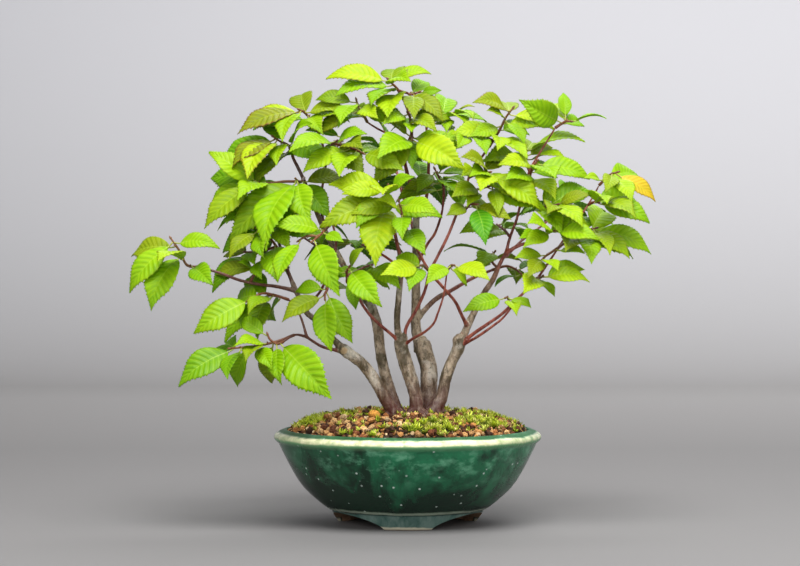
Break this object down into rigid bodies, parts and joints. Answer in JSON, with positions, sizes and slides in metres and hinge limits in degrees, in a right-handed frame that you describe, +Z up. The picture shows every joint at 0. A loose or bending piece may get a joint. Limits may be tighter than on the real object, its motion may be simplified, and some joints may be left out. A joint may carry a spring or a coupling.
{
  "type": "bonsai tree in a pot",
  "caption": "Clump-style broadleaf bonsai with slender stems and toothed leaves, growing in akadama soil and moss in a shallow round green-glazed pot on low feet.",
  "frame": {"origin": "bottom centre of the bounding box, on the surface the pot stands on; the pot's own axis is 6.9 mm to +X and 12.45 mm to -Y of it", "axes": "+Z up; +X to the right of the front view and along the widest extent of the crown; -Y towards the front view"},
  "size_m": [0.244, 0.1509, 0.2162],
  "materials": {
    "glazed_pot": "gloss",
    "soil": "matte",
    "root_pad": "matte",
    "bark": "matte",
    "leaf": "satin",
    "moss": "matte",
    "plastic_mesh": "matte",
    "wire": "satin"
  },
  "bodies": {
    "root": {"drain_screen": "plastic_mesh", "leaves_back_left": "leaf", "leaves_back_low": "leaf", "leaves_back_mid": "leaf", "leaves_back_right": "leaf", "leaves_back_up": "leaf", "leaves_centre_bright": "leaf", "leaves_centre_hang": "leaf", "leaves_centre_high": "leaf", "leaves_centre_inner": "leaf", "leaves_centre_left_bright": "leaf", "leaves_centre_left_front": "leaf", "leaves_cross_tip": "leaf", "leaves_crown": "leaf", "leaves_far_right_lower": "leaf", "leaves_far_right_tip": "leaf", "leaves_high_left_tip": "leaf", "leaves_left_bud": "leaf", "leaves_left_front_big": "leaf", "leaves_left_front_hang": "leaf", "leaves_left_front_high": "leaf", "leaves_left_high_tip": "leaf", "leaves_left_lead_tip": "leaf", "leaves_left_low_inner": "leaf", "leaves_left_low_outer": "leaf", "leaves_left_mid": "leaf", "leaves_left_shoulder": "leaf", "leaves_left_tip": "leaf", "leaves_middle_left_front": "leaf", "leaves_right_back": "leaf", "leaves_right_bright": "leaf", "leaves_right_centre_fold": "leaf", "leaves_right_centre_front": "leaf", "leaves_right_high": "leaf", "leaves_right_inner": "leaf", "leaves_right_low_pair": "leaf", "leaves_right_low_tip": "leaf", "leaves_right_mass": "leaf", "leaves_right_mass_front": "leaf", "leaves_right_stem_tip": "leaf", "leaves_right_top": "leaf", "leaves_right_wing": "leaf", "leaves_right_wing_back": "leaf", "leaves_upper_left": "leaf", "leaves_upper_left_inner": "leaf", "moss_back": "moss", "moss_front": "moss", "moss_left": "moss", "moss_right": "moss", "moss_right_front": "moss", "pot": "glazed_pot", "root_ball": "root_pad", "screen_wire": "wire", "soil": "soil", "stem_back": "bark", "stem_left_back": "bark", "stem_left_front": "bark", "stem_middle": "bark", "stem_right": "bark"}
  },
  "joints": []
}
